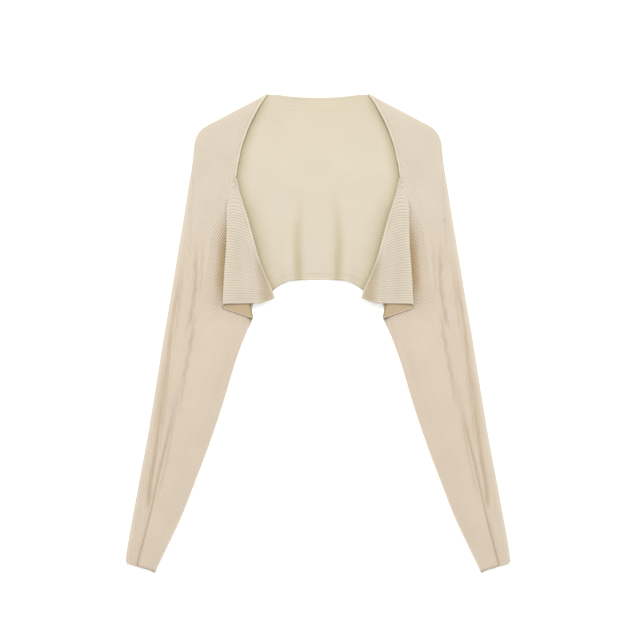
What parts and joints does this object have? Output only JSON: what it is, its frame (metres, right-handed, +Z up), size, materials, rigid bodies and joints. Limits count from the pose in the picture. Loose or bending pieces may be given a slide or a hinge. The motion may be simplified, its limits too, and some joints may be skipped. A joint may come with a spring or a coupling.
{
  "type": "open-front cardigan",
  "caption": "Cropped open-front cardigan in a fine rib knit with dolman sleeves and narrow cuffs, laid flat with its fronts up.",
  "frame": {"origin": "on the surface that the cardigan lies on, under the middle of its outline", "axes": "+Y from hem to neck, +X across the garment, +Z up out of the surface, fronts up"},
  "size_m": [0.5744, 0.7172, 0.0128],
  "materials": {
    "knit_back": "matte",
    "knit_front": "matte"
  },
  "bodies": {
    "root": {"back": "knit_back", "front_left": "knit_front", "front_right": "knit_front"}
  },
  "joints": []
}
